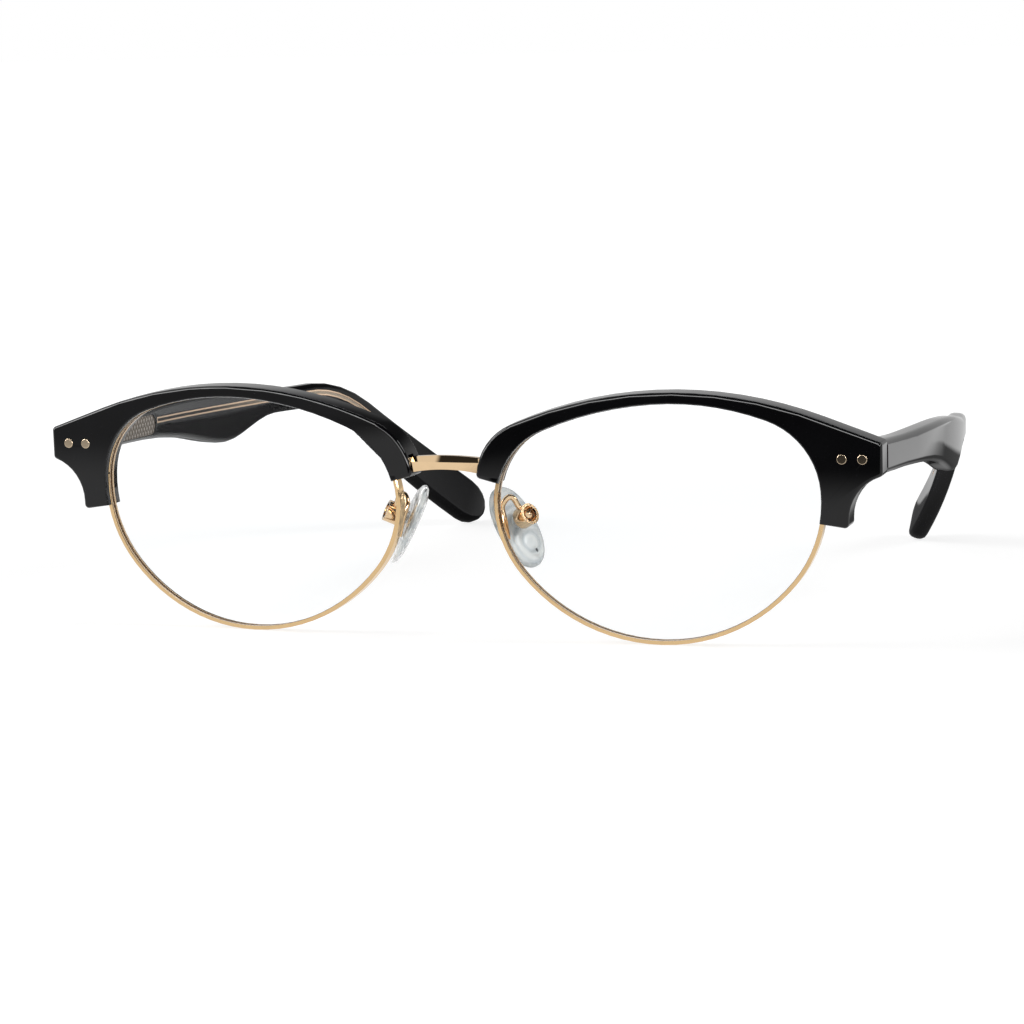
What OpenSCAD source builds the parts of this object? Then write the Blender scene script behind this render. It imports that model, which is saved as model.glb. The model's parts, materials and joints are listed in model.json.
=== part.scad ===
// Browline spectacles: acetate brows over metal eye wires, keyhole temples with a wire core.
// Millimetres. X runs to the wearer's left, Y to the back of the head and Z up.
// The origin lies on the table, under the middle of the outline. The left side is
// modelled, and the right side is its mirror image.

/* [Eye shape] */
// Reach of the eye opening from its centre towards the temple
eye_out = 25.4; // [23.5:0.1:26.5]
// Reach of the eye opening from its centre towards the nose
eye_in = 26.8; // [25:0.1:29]
// Height of the eye opening above its widest line
eye_up = 15.1; // [14.5:0.1:16]
// Depth of the eye opening below its widest line
eye_down = 22.3; // [21:0.1:24]
// Radius of the short arc in the upper outer quarter
arc_up_out = 12.4; // [10:0.1:13.5]
// Radius of the short arc in the upper inner quarter
arc_up_in = 12.8; // [10:0.1:14]
// Radius of the short arc in the lower inner quarter
arc_low_in = 17.5; // [14:0.1:20]
// Radius of the short arc in the lower outer quarter
arc_low_out = 20; // [16:0.1:20.8]
// Lean of the eye shape, outer side up
eye_lean = 4.2; // [1:0.2:7]
// Clear width between the two eye openings
eye_gap = 17.1; // [15:0.1:19]
// Forward lean of the front over its foot
tilt = 1.4; // [0:0.2:6]
// Backward sweep of each half of the front
wrap = 3.5; // [2:0.1:5]
// Radius of each half's base curve, seen from above
face_r = 1600; // [600:100:3000]

/* [Eye wire] */
// Face width of the eye wire
wire_w = 0.65; // [0.55:0.05:0.9]
// Depth of the eye wire
wire_d = 2; // [1.8:0.1:2.4]
// Depth of the groove that holds the lens
groove = 0.3; // [0.2:0.02:0.4]
// Width of that groove
groove_w = 0.8; // [0.6:0.05:1]
// Chamfer on the outer edges of the wire
wire_cham = 0.18; // [0.05:0.01:0.25]
// Height of the closing block's middle above the eye's widest line
block_z = 2; // [1:0.1:3]
// Height of one half of the closing block
block_h = 1.5; // [1.2:0.1:1.8]
// Reach of the closing block out from the wire
block_w = 2.3; // [1.8:0.1:2.6]
// Slit between the two halves
block_slit = 0.3; // [0.2:0.05:0.5]
// Radius of the closing screw
block_screw_r = 0.45; // [0.35:0.05:0.55]
// Radius of the closing screw's head
block_head_r = 0.75; // [0.65:0.05:0.9]

/* [Lens] */
// Radius of the front surface
lens_r = 220; // [180:10:400]
// Thickness at the middle
lens_t = 1.7; // [1.5:0.1:2]
// Play between the lens edge and the wire
lens_play = 0.05; // [0.03:0.01:0.1]

/* [Brow] */
// Clear width between the two brows at the bridge
brow_gap = 10.8; // [9.6:0.1:12]
// Distance of the brow's highest point from the middle
brow_apex_x = 37.6; // [36:0.1:39]
// Height of the brow's highest point
brow_top = 40; // [39.6:0.1:42]
// Radius of the long upper edge
brow_top_r = 68; // [62:1:75]
// Radius of the shoulder next to the nose
brow_nose_r = 9.5; // [8:0.1:11]
// Height of the brow's lower end next to the nose
brow_nose_z = 26; // [25:0.1:26.6]
// Slant of that lower end
brow_nose_slant = 14; // [8:1:20]
// Half width of the whole front
end_x = 70.5; // [69.5:0.1:73]
// Angle at which the upper edge runs out to the end piece
end_slope = 20; // [17:0.2:22]
// Height of the end piece at its outer side
end_h = 5.5; // [5.2:0.1:6.2]
// Distance of the stem's outer side from the middle
stem_x = 65.1; // [64.8:0.1:66]
// Height of the stem's foot
stem_z = 19.1; // [18:0.1:20]
// Radius of the hollow between stem and end piece
cove_r = 7.2; // [6.4:0.1:8]
// Thickness of the brow in front of the wire
lip_front = 1; // [0.8:0.1:1.4]
// Thickness of the brow behind the wire
lip_back = 1.6; // [1.4:0.1:2]
// Reveal of the wire inside the brow's edge
reveal = 0.05; // [0:0.01:0.15]
// Radius of the brow's outer corners
corner_r = 0.7; // [0.6:0.05:0.9]
// Rounding of the edges round the front face
round_front = 0.5; // [0.2:0.05:0.55]
// Rounding of the edges round the back face
round_back = 0.35; // [0.2:0.05:0.5]
// Rounding of the edges that face the lens
round_lens = 0.3; // [0.1:0.05:0.4]
// Play of each metal piece in the brow
seat_play = 0.05; // [0.02:0.01:0.1]

/* [Bridge] */
// Height of the bridge's middle above the table
bridge_z = 28.1; // [27.6:0.1:28.6]
// Height of the bar at its ends
bridge_h = 2.6; // [2.2:0.1:2.9]
// Depth of the bar
bridge_d = 1.7; // [1.4:0.1:1.8]
// Rise of the hollow under the bar
bridge_hollow = 0.5; // [0.2:0.05:0.8]
// Radius of the bar's crown
bridge_crown_r = 62; // [45:1:90]
// Width of the bevel along the bar's upper front edge
bridge_bevel = 0.95; // [0.5:0.05:1.1]
// Distance of the bridge's fixing screw from the middle
brow_screw_x = 7.7; // [7.4:0.1:8]
// Radius of that screw
brow_screw_r = 0.5; // [0.4:0.05:0.55]
// Radius of that screw's head
brow_head_r = 0.95; // [0.8:0.05:1]
// Height of that screw's head
brow_head_h = 0.6; // [0.4:0.05:0.8]

/* [Nose pads] */
// Middle of the pad out from the nose
pad_x = 9.2; // [8.8:0.1:9.4]
// Middle of the pad behind the foot of the front
pad_y = 7.1; // [6.8:0.1:7.5]
// Middle of the pad above the table
pad_z = 17.3; // [16.6:0.1:18]
// Lean of the pad, top towards the nose
pad_lean = 28; // [25:1:30]
// Splay of the pad, back edge away from the nose
pad_splay = 25; // [22:1:28]
// Length of the pad
pad_l = 14; // [13:0.1:15]
// Width of the pad
pad_w = 8.4; // [7.6:0.1:8.8]
// Thickness of the pad
pad_t = 1.8; // [1.6:0.1:2]
// Radius of the plate moulded into the pad
insert_r = 2.7; // [2.2:0.1:3.2]
// Thickness of that plate
insert_t = 0.6; // [0.4:0.05:0.8]
// Distance of the ball's centre from the pad's middle
ball_x = 3.5; // [3.4:0.05:3.8]
// Distance of the ball above the pad's middle
ball_z = 0.8; // [0.4:0.1:1.4]
// Radius of the ball
ball_r = 0.9; // [0.8:0.05:1]
// Radius of the post under the ball
post_r = 0.45; // [0.4:0.05:0.5]
// Outer radius of the cup
cup_r = 1.75; // [1.65:0.05:1.9]
// Wall of the cup
cup_wall = 0.45; // [0.35:0.05:0.5]
// Depth of the cup
cup_d = 2.2; // [2:0.1:2.4]
// Radius of the hole in the cup's floor
cup_hole_r = 0.72; // [0.66:0.02:0.76]
// Radius of the arm's wire
arm_r = 0.48; // [0.4:0.02:0.55]
// Height of the arm's foot on the eye wire
arm_foot_z = 15.9; // [15.4:0.1:16.4]
// Height of the arm's loop
arm_top_z = 22.4; // [22:0.1:23]

/* [Hinge] */
// Height of the hinge's middle above the table
hinge_z = 29.9; // [29.7:0.05:30]
// Distance of the temple's outer side from the middle at the hinge
temple_x = 70.3; // [70:0.1:71]
// Distance of the parting face behind the foot of the front
joint_y = 6.9; // [6.7:0.1:7.1]
// Gap at the parting face
joint_gap = 0.15; // [0.1:0.01:0.25]
// Height of the hinge
hinge_h = 3.8; // [3.4:0.1:4]
// Radius of the barrels
barrel_r = 1.2; // [1.1:0.05:1.3]
// Radius of the hinge screw
pin_r = 0.6; // [0.5:0.05:0.65]
// Running clearance round the hinge screw
pin_play = 0.05; // [0.03:0.01:0.08]
// Gap between two barrels
barrel_gap = 0.06; // [0.04:0.01:0.1]
// Share of the hinge's height in the middle barrel
barrel_mid = 1.36; // [1.2:0.02:1.5]
// Radius of the hinge screw's head
pin_head_r = 0.95; // [0.85:0.05:1.05]
// Height of the hinge screw's head
pin_head_h = 0.45; // [0.35:0.05:0.5]
// Thickness of the leaf in the brow
leaf_t = 0.9; // [0.7:0.05:1]
// Length of that leaf
leaf_l = 6.6; // [6.4:0.1:6.8]
// Spacing of the two rivets
rivet_gap = 3.2; // [3:0.1:3.3]
// Distance of the outer rivet from the middle
rivet_x = 67.4; // [67.2:0.1:67.5]
// Radius of a rivet's shank
rivet_r = 0.55; // [0.45:0.05:0.6]
// Radius of a rivet's head
rivet_head_r = 0.78; // [0.7:0.02:0.85]
// Height by which a rivet's head stands out
rivet_proud = 0.1; // [0.05:0.01:0.15]
// Length of the plate in the temple
plate_l = 26.5; // [22:0.5:30]
// Thickness of that plate
plate_t = 0.8; // [0.6:0.05:1]
// Height of that plate
plate_h = 3.4; // [3:0.1:3.6]

/* [Temple] */
// Height of the temple at the hinge
temple_h = 5.5; // [5:0.1:6]
// Thickness of the temple at the hinge
temple_t = 4; // [3.8:0.1:4.2]
// Thickness of the temple at the tip
tip_t = 2.8; // [2.5:0.1:3.2]
// Downward slope of the left temple's straight leg, as it is set
drop_left = 3.8; // [0.8:0.1:4.4]
// Downward slope of the right temple's straight leg, as it is set
drop_right = 1.3; // [0.8:0.1:4.4]
// Length of the straight leg
leg_l = 79.5; // [75:0.5:84]
// Radius of the bend over the ear
bend_r = 24; // [21:0.5:28]
// Slope of the tip below the level
tip_angle = 42.5; // [37:0.5:45]
// Height of the paddle at the tip
tip_h = 8.6; // [7.6:0.1:9.4]
// Distance of the bulge from the hinge
bulge_at = 52.5; // [47:0.5:54]
// Depth of the bulge below the leg's line
bulge_down = 5.8; // [5:0.1:7]
// Distance of the neck from the hinge
neck_at = 69; // [66:0.5:72]
// Height of the neck
neck_h = 4.3; // [4:0.1:5]
// Rise of the upper edge half way along the leg
crown_up = 1.3; // [0.6:0.1:1.6]
// Rounding of the temple's edges
temple_round = 1.1; // [0.7:0.05:1.2]
// Length of the leg that runs straight back before it bows in
bow_from = 18; // [16:0.5:22]
// Radius of the inward bow of the leg, seen from above
bow_r = 250; // [230:5:300]
// Radius of the added inward turn of the tip, seen from above
turn_r = 300; // [250:5:400]
// Height of the core wire
core_h = 1; // [0.8:0.05:1.4]
// Thickness of the core wire
core_t = 0.7; // [0.5:0.05:0.9]
// Height of the core wire above the leg's line
core_up = 0.6; // [0.3:0.05:0.8]
// Length of the core wire beyond the hinge plate
core_l = 77.5; // [70:0.5:84]

/* [Hidden] */

$fn = 48;
// Largest distance between a chord and its arc
chord = 0.022;
// Overshoot of a cut past the face that it opens
over = 0.5;

function steps(r, sweep) = max(2, ceil(abs(sweep) / (2 * acos(1 - chord / max(r, 0.2)))));

// A path is a list of arcs: [centre x, centre y, radius, first angle, last angle, side, joined].
// Side is 1 where the material lies on the centre's side and -1 in a hollow. Joined is 1
// where the next arc starts at this one's last point, so that the point comes once.
// d moves the whole outline outwards.
function path_points(arcs, d = 0) = [
    for (a = arcs)
        let(n = a[4] == a[3] ? 0 : steps(a[2], a[4] - a[3]))
            for (i = [0 : n - a[6]])
                let(t = a[3] + (a[4] - a[3]) * i / max(n, 1), r = a[2] + a[5] * d)
                    [a[0] + r * cos(t), a[1] + r * sin(t)]
];

// Each half of the front follows its base curve, which lies deepest before the pupil
function bow(x) = -pow(x - eye_x, 2) / (2 * face_r);
function lift(points, z) = [for (p = points) [p[0], p[1], z + bow(p[0])]];

// A solid through rings of equal length, each clockwise seen from the last one
module loft(rings) {
    n = len(rings[0]);
    m = len(rings);
    polyhedron(
        [for (r = rings) for (p = r) p],
        concat(
            [[for (j = [0 : n - 1]) n - 1 - j]],
            [
                for (i = [0 : m - 2])
                    for (j = [0 : n - 1])
                        [i * n + j, i * n + (j + 1) % n, (i + 1) * n + (j + 1) % n, (i + 1) * n + j]
            ],
            [[for (j = [0 : n - 1]) (m - 1) * n + j]]
        ),
        convexity = 8
    );
}

// A closed hoop through rings of equal length
module hoop(rings) {
    n = len(rings[0]);
    m = len(rings);
    polyhedron(
        [for (r = rings) for (p = r) p],
        [
            for (i = [0 : m - 1])
                let(k = (i + 1) % m)
                    for (j = [0 : n - 1])
                        [i * n + j, i * n + (j + 1) % n, k * n + (j + 1) % n, k * n + j]
        ],
        convexity = 8
    );
}

// Insets and heights of a quarter round, from the side wall (0) to the face (1)
function round_in(r, k) = r * (1 - cos(90 * k));
function round_up(r, k) = r * sin(90 * k);

// The eye shape is four quarter ovals, each of a short and a long arc
function long_r(p, q, r) = (p * p + q * q - 2 * p * r) / (2 * (q - r));
function meet(p, q, r) = atan2(long_r(p, q, r) - q, p - r);
quarters = [
    [eye_out, eye_up, arc_up_out, 1, 1],
    [eye_in, eye_up, arc_up_in, -1, 1],
    [eye_in, eye_down, arc_low_in, -1, -1],
    [eye_out, eye_down, arc_low_out, 1, -1]
];
function turned(t, sx, sy) = sx * sy > 0 ? (sx > 0 ? t : 180 + t) : (sy > 0 ? 180 - t : 360 - t);
function quarter_arcs(v) =
    let(
        p = v[0], q = v[1], r = v[2], sx = v[3], sy = v[4],
        big = long_r(p, q, r), m = meet(p, q, r),
        short = [sx * (p - r), 0, r, turned(0, sx, sy), turned(m, sx, sy)],
        long = [0, sy * (q - big), big, turned(m, sx, sy), turned(90, sx, sy)],
        flip = sx * sy < 0
    )
    flip
        ? [[long[0], long[1], long[2], long[4], long[3]], [short[0], short[1], short[2], short[4], short[3]]]
        : [short, long];
function spun(p, a) = [p[0] * cos(a) - p[1] * sin(a), p[0] * sin(a) + p[1] * cos(a)];
leaning = [
    for (v = quarters)
        for (a = quarter_arcs(v))
            let(c = spun([a[0], a[1]], eye_lean))
                [c[0], c[1], a[2], a[3] + eye_lean, a[4] + eye_lean, 1, 1]
];
eye_x = eye_gap / 2 + eye_in;
eye_y = wire_w - min([for (p = path_points(leaning)) p[1]]);
eye = [for (a = leaning) [a[0] + eye_x, a[1] + eye_y, a[2], a[3], a[4], 1, 1]];
function eye_points(d = 0) = path_points(eye, d);
lens_cx = eye_x + (eye_out - eye_in) / 2;
lens_cy = eye_y + (eye_up - eye_down) / 2;

// Faces of the brow, measured forwards from the front of the eye wire
brow_front = lip_front;
brow_back = -wire_d - lip_back;

// The brow's outline, counter-clockwise from its lower end next to the nose
nose_x = brow_gap / 2;
top_c = [brow_apex_x, brow_top - brow_top_r];
nose_cx = nose_x + brow_nose_r;
nose_c = [
    nose_cx,
    top_c[1] + sqrt(pow(brow_top_r - brow_nose_r, 2) - pow(nose_cx - top_c[0], 2))
];
nose_a = atan2(nose_c[1] - top_c[1], nose_c[0] - top_c[0]);
foot_cy = brow_nose_z + corner_r;
foot_cx = nose_c[0] - sqrt(pow(brow_nose_r - corner_r, 2) - pow(foot_cy - nose_c[1], 2));
foot_a = atan2(foot_cy - nose_c[1], foot_cx - nose_c[0]) + 360 * (foot_cy < nose_c[1] ? 1 : 0);
line_n = [cos(90 - end_slope), sin(90 - end_slope)];
line_h = top_c * line_n + brow_top_r;
end_cx = end_x - corner_r;
end_cy = (line_h - corner_r - end_cx * line_n[0]) / line_n[1];
low_cy = end_cy - (end_h - 2 * corner_r);
cove_cx = stem_x + cove_r;
cove_cy = low_cy - sqrt(pow(cove_r + corner_r, 2) - pow(cove_cx - end_cx, 2));
low_a = atan2(low_cy - cove_cy, end_cx - cove_cx);
brow_path = [
    [stem_x - corner_r, stem_z + corner_r, corner_r, -90, 0, 1, 0],
    [cove_cx, cove_cy, cove_r, 180, low_a, -1, 1],
    [end_cx, low_cy, corner_r, low_a - 180, 0, 1, 0],
    [end_cx, end_cy, corner_r, 0, 90 - end_slope, 1, 0],
    [top_c[0], top_c[1], brow_top_r, 90 - end_slope, nose_a, 1, 1],
    [nose_c[0], nose_c[1], brow_nose_r, nose_a, foot_a, 1, 1],
    [foot_cx, foot_cy, corner_r, foot_a, 270 - brow_nose_slant, 1, 0]
];
// The outline closes a little inside the eye, between the foot of the stem and the nose
inner_x = eye_x + eye_out - 3;
inner_line = [foot_cx + 6, foot_cy - corner_r - 6 * tan(brow_nose_slant)];
from_below = [for (i = [0 : 7]) eye[(i + 6) % 8]];
brow_inner = [
    for (p = path_points(from_below, -1.6))
        if (p[1] > mix(inner_line[1], stem_z, (p[0] - inner_line[0]) / (inner_x - inner_line[0]))) p
];
brow_inner_n = len(brow_inner);
function brow_ring(d) =
    concat(path_points(brow_path, d), [for (i = [brow_inner_n - 1 : -1 : 0]) brow_inner[i]]);

// The temple's centre line seen from the side, by the length run along it. Each temple
// has its own slope, and both tips rest on the table.
$drop = drop_left;
function bend_len() = bend_r * (tip_angle - $drop) * PI / 180;
function bend_y() = leg_l * cos($drop) + bend_r * (sin(tip_angle) - sin($drop));
function bend_drop() = leg_l * sin($drop) + bend_r * (cos($drop) - cos(tip_angle));
// The tip's outer edge hangs a little lower than its middle, because the tip turns in
tip_low = tip_h / 2 + 0.075 * tip_t;
function tip_len() = (hinge_z - bend_drop() - tip_low) / sin(tip_angle);
function temple_len() = leg_l + bend_len() + tip_len();
function side_at(s) =
    s < leg_l
        ? [s * cos($drop), -s * sin($drop), $drop]
        : s < leg_l + bend_len()
            ? let(a = $drop + (s - leg_l) / bend_r * 180 / PI)
                [
                    leg_l * cos($drop) + bend_r * (sin(a) - sin($drop)),
                    -leg_l * sin($drop) - bend_r * (cos($drop) - cos(a)), a
                ]
            : let(t = s - leg_l - bend_len())
                [bend_y() + t * cos(tip_angle), -bend_drop() - t * sin(tip_angle), tip_angle];
function inward(s) =
    pow(max(0, s - bow_from), 2) / (2 * bow_r) + pow(max(0, s - leg_l), 2) / (2 * turn_r);
function inward_slope(s) = max(0, s - bow_from) / bow_r + max(0, s - leg_l) / turn_r;
function ease(t) = let(u = min(1, max(0, t))) u * u * (3 - 2 * u);
function mix(a, b, t) = a + (b - a) * t;

// Reach of the temple above and below its centre line
waist_at = 14;
waist_h = temple_h - 0.6;
function above(s) = crown_up * sin(180 * pow(min(1, s / neck_at), 1.5)) + (
    s < waist_at ? mix(temple_h, waist_h, ease(s / waist_at)) / 2
    : s < neck_at ? mix(waist_h, neck_h, ease((s - waist_at) / (neck_at - waist_at))) / 2
    : mix(neck_h, tip_h, ease((s - neck_at - 6) / (temple_len() - neck_at - 10))) / 2);
function below(s) =
    s < waist_at ? mix(temple_h, waist_h, ease(s / waist_at)) / 2
    : s < bulge_at ? mix(waist_h / 2, bulge_down, ease(pow((s - waist_at) / (bulge_at - waist_at), 2)))
    : s < neck_at ? mix(bulge_down, neck_h / 2, ease((s - bulge_at) / (neck_at - bulge_at)))
    : mix(neck_h, tip_h, ease((s - neck_at - 6) / (temple_len() - neck_at - 10))) / 2;
function thick(s) = mix(temple_t, tip_t, ease((s - bow_from) / (temple_len() - bow_from)));

// Length over which the section turns from the upright parting face square to the leg
square_l = 8;
// A point beside the centre line: out from the middle, and up across the line
function temple_point(s, out, up) =
    let(v = side_at(s), k = inward_slope(s), a = v[2] * min(1, s / square_l))
        [
            temple_x - thick(s) / 2 - inward(s) + out,
            joint_y + joint_gap + v[0] + up * sin(a) + out * k * cos(a),
            hinge_z + v[1] + up * cos(a) - out * k * sin(a)
        ];
function box_ring(s, half_t, up, down) =
    let(r = min(temple_round, half_t * 0.8, (up + down) * 0.4))
        [
            for (c = [[1, 1, 0], [-1, 1, 90], [-1, -1, 180], [1, -1, 270]])
                for (i = [0 : 3])
                    let(
                        a = c[2] + i * 30,
                        x = c[0] * (half_t - r) + r * cos(a),
                        y = (c[1] > 0 ? up - r : r - down) + r * sin(a)
                    )
                        temple_point(s, x, y)
        ];

// Widest part of the front before and behind the foot of the front, for the origin
front_reach = brow_front + (brow_top - 1) * sin(tilt) - 0.7 * eye_x * sin(wrap);
function reach_at(drop) =
    let($drop = drop) joint_y + joint_gap + side_at(temple_len())[0] + tip_h / 2 * cos(tip_angle * 0.5);
back_reach = max(reach_at(drop_left), reach_at(drop_right));
row_y = (front_reach - back_reach) / 2;

acetate = "#17171a";
gold = "#d8b27a";
steel = "#b9b9bd";

module in_row() translate([0, row_y, 0]) children();
// The front's own plane: X outwards, Y up and Z forwards, seen from the front of the wire
module in_front() in_row() rotate([0, 0, wrap]) rotate([90 + tilt, 0, 0]) children();
module in_middle() in_row() rotate([90 + tilt, 0, 0]) children();
module other_side() mirror([1, 0, 0]) children();

module slab(points, z0, z1) translate([0, 0, z0]) linear_extrude(z1 - z0) polygon(points);
// A point of the front at x and y, pushed back onto its base curve
module on_front(x, y) translate([x, y, bow(x)]) children();

// Section of the wire: distance out from the eye's outline, and height
wire_section = [
    [0, 0], [wire_w - wire_cham, 0], [wire_w, -wire_cham],
    [wire_w, wire_cham - wire_d], [wire_w - wire_cham, -wire_d], [0, -wire_d],
    [0, (-wire_d - groove_w) / 2], [groove, -wire_d / 2], [0, (groove_w - wire_d) / 2]
];

// Outer side of the wire at the closing block, taken from the eye's widest reach
block_x = eye_x + eye_out + wire_w;
block_y = eye_y + block_z;

module rim() color(gold) in_front() difference() {
    hoop([for (p = wire_section) lift(eye_points(p[0]), p[1])]);
    on_front(block_x - 3, block_y - block_slit / 2)
        translate([0, 0, -wire_d - 1])
            cube([4, block_slit, wire_d + 2]);
}

module block_body(play = 0)
    on_front(block_x, block_y - block_h - block_slit / 2 - play)
        translate([-1, 0, 0.15 - wire_d - play])
            cube([1 + block_w + play, 2 * block_h + block_slit + 2 * play, wire_d - 0.3 + 2 * play]);

module block_screw_at(r, y0, y1)
    on_front(block_x, y0)
        translate([block_w / 2, 0, -wire_d / 2])
            rotate([-90, 0, 0])
                cylinder(r = r, h = y1 - y0);

block_low = block_y - block_h - block_slit / 2;
block_high = block_y + block_h + block_slit / 2;
head_h = 0.5;

module closing_block() color(gold) in_front() difference() {
    block_body();
    slab(eye_points(wire_w), -wire_d - 3, 1);
    translate([block_x - 2, block_y - block_slit / 2, -wire_d - 3])
        cube([block_w + 4, block_slit, wire_d + 4]);
    block_screw_at(block_screw_r + 0.02, block_low - over, block_high + over);
}

module rim_screw() color(steel) in_front() difference() {
    union() {
        block_screw_at(block_screw_r, block_low, block_high);
        block_screw_at(block_head_r, block_low - head_h, block_low);
    }
    on_front(block_x, block_low - head_h - over)
        translate([block_w / 2 - 1, 0, -wire_d / 2 - 0.12])
            cube([2, over + 0.25, 0.24]);
}

module lens() color("#dfe6ea", 0.35) in_front() {
    mid = -wire_d / 2;
    bulge = pow((eye_in + eye_out) / 2, 2) / 2 * (1 / lens_r - 1 / face_r);
    face = mid + groove_w / 2 + 0.25 + bulge;
    edge = groove - lens_play;
    rise = groove_w / 2 - lens_play;
    intersection() {
        loft([
            for (p = [[-lens_play, 4], [-lens_play, rise], [edge, 0], [-lens_play, -rise], [-lens_play, -4]])
                lift(eye_points(p[0]), mid + p[1])
        ]);
        translate([lens_cx - (lens_cx - eye_x) * (1 - lens_r / face_r), lens_cy, face - lens_r]) difference() {
            sphere(r = lens_r, $fn = 180);
            translate([0, 0, -lens_t]) sphere(r = lens_r, $fn = 180);
        }
    }
}

// Rings of the brow's body from the front face to the back face
brow_rings = concat(
    [for (k = [1, 0.66, 0.33, 0])
        lift(brow_ring(-round_in(round_front, k)), brow_front - round_front + round_up(round_front, k))],
    [for (k = [0, 0.5, 1])
        lift(brow_ring(-round_in(round_back, k)), brow_back + round_back - round_up(round_back, k))]
);
// Rings of the space for the eye, with the wire's channel
channel = wire_w + seat_play;
eye_rings = concat(
    [lift(eye_points(reveal + round_lens), brow_front + 2)],
    [for (k = [1, 0.5, 0])
        lift(eye_points(reveal + round_in(round_lens, k)), brow_front - round_lens + round_up(round_lens, k))],
    [
        lift(eye_points(reveal), seat_play), lift(eye_points(channel), seat_play),
        lift(eye_points(channel), -wire_d - seat_play), lift(eye_points(reveal), -wire_d - seat_play)
    ],
    [for (k = [0, 0.5, 1])
        lift(eye_points(reveal + round_in(round_lens, k)), brow_back + round_lens - round_up(round_lens, k))],
    [lift(eye_points(reveal + round_lens), brow_back - 2)]
);

// The bar's own frame is the middle plane, so its depth lies between the two wires
bar_front = -0.5;
module bar_box(play = 0)
    translate([-nose_cx, bridge_z - bridge_h / 2 - play, bar_front - bridge_d - play])
        cube([2 * nose_cx, bridge_h + 2 * play, bridge_d + 2 * play]);

module brow_screw_at(r, z0, z1)
    on_front(brow_screw_x, bridge_z)
        translate([0, 0, z0])
            cylinder(r = r, h = z1 - z0);

screw_tip = lip_front - 0.55;

module bridge() color(gold) difference() {
    in_middle() difference() {
        intersection() {
            bar_box();
            translate([0, bridge_z + bridge_h / 2 - bridge_crown_r, -5])
                cylinder(r = bridge_crown_r, h = 10, $fn = 120);
        }
        hollow_r = (nose_x * nose_x + bridge_hollow * bridge_hollow) / (2 * bridge_hollow);
        translate([0, bridge_z - bridge_h / 2 + bridge_hollow - hollow_r, -5])
            cylinder(r = hollow_r, h = 10, $fn = 120);
        translate([0, bridge_z + bridge_h / 2, bar_front])
            rotate([45, 0, 0])
                cube([2 * nose_x + 0.6, 2 * bridge_bevel / sqrt(2), 2 * bridge_bevel / sqrt(2)], center = true);
    }
    for (s = [0, 1])
        mirror([s, 0, 0])
            in_front() {
                slab(eye_points(wire_w), -wire_d - 3, 1);
                brow_screw_at(brow_screw_r + 0.02, -wire_d - 3, 2);
            }
}

module brow_screw() color(steel) in_front() difference() {
    union() {
        brow_screw_at(brow_screw_r, brow_back + 0.1, screw_tip);
        brow_screw_at(brow_head_r, brow_back + 0.1, brow_back + 0.1 + brow_head_h);
    }
    on_front(brow_screw_x, bridge_z)
        translate([-1.2, -0.12, brow_back - over])
            cube([2.4, 0.24, over + 0.35]);
}

leaf_x0 = rivet_x - rivet_gap - (leaf_l - rivet_gap) / 2;
axis_x = temple_x - temple_t - barrel_r - 0.12;
axis_y = joint_y + barrel_r + 0.1;

module stadium(length, height, z0, z1)
    translate([0, 0, z0]) {
        translate([height / 2, -height / 2, 0]) cube([length - height, height, z1 - z0]);
        for (x = [height / 2, length - height / 2])
            translate([x, 0, 0]) cylinder(r = height / 2, h = z1 - z0);
    }

// The leaf stands upright in the parting plane
module leaf_plate(play = 0)
    in_row()
        translate([leaf_x0 - play, joint_y, hinge_z])
            rotate([90, 0, 0])
                stadium(leaf_l + 2 * play, hinge_h + 2 * play, -over * (play > 0 ? 1 : 0), leaf_t + play);

module rivet_at(r, z0, z1)
    for (x = [rivet_x - rivet_gap, rivet_x])
        on_front(x, hinge_z)
            translate([0, 0, z0])
                cylinder(r = r, h = z1 - z0);

module brow() color(acetate) difference() {
    in_front() difference() {
        loft(brow_rings);
        loft(eye_rings);
        block_body(seat_play);
        block_screw_at(block_head_r + 0.15, stem_z - over, block_low + 0.01);
        brow_screw_at(brow_screw_r + 0.02, brow_back - over, screw_tip + 0.05);
        brow_screw_at(brow_head_r + seat_play, brow_back - over, brow_back + 0.1 + brow_head_h + 0.02);
        rivet_at(rivet_r + 0.02, brow_back - over, brow_front + over);
        rivet_at(rivet_head_r + 0.02, brow_front - 0.25, brow_front + over);
    }
    in_middle() bar_box(seat_play + 0.05);
    leaf_plate(seat_play);
    in_row() translate([leaf_x0 - 0.4, joint_y, 0]) cube([20, 10, 60]);
}

module front_rivets() color(gold) difference() {
    in_front() {
        rivet_at(rivet_r, brow_back, brow_front);
        rivet_at(rivet_head_r, brow_front - 0.25, brow_front + rivet_proud);
    }
    in_row() translate([leaf_x0 - 5, joint_y, 0]) cube([20, 10, 60]);
}

module barrel(z0, z1, r)
    translate([axis_x, axis_y, hinge_z + z0]) cylinder(r = r, h = z1 - z0);

side_lo = 0.15 - hinge_h / 2;
mid_half = barrel_mid / 2;

module front_hinge() color(steel) difference() {
    union() {
        leaf_plate();
        in_row() for (z = [[side_lo, -mid_half], [mid_half, -side_lo]]) {
            barrel(z[0], z[1], barrel_r);
            translate([axis_x - barrel_r, joint_y - 0.2, hinge_z + z[0]])
                cube([2 * barrel_r, axis_y - joint_y + 0.2, z[1] - z[0]]);
        }
    }
    in_row() barrel(-hinge_h, hinge_h, pin_r + 0.02);
    in_front() rivet_at(rivet_r + 0.02, brow_back - 2, brow_front);
}

module hinge_screw() color(steel) in_row() difference() {
    union() {
        barrel(side_lo, -side_lo, pin_r);
        barrel(-side_lo, pin_head_h - side_lo, pin_head_r);
    }
    translate([axis_x - 1.2, axis_y - 0.13, hinge_z - side_lo + pin_head_h - 0.25])
        cube([2.4, 0.26, 1]);
}

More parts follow.
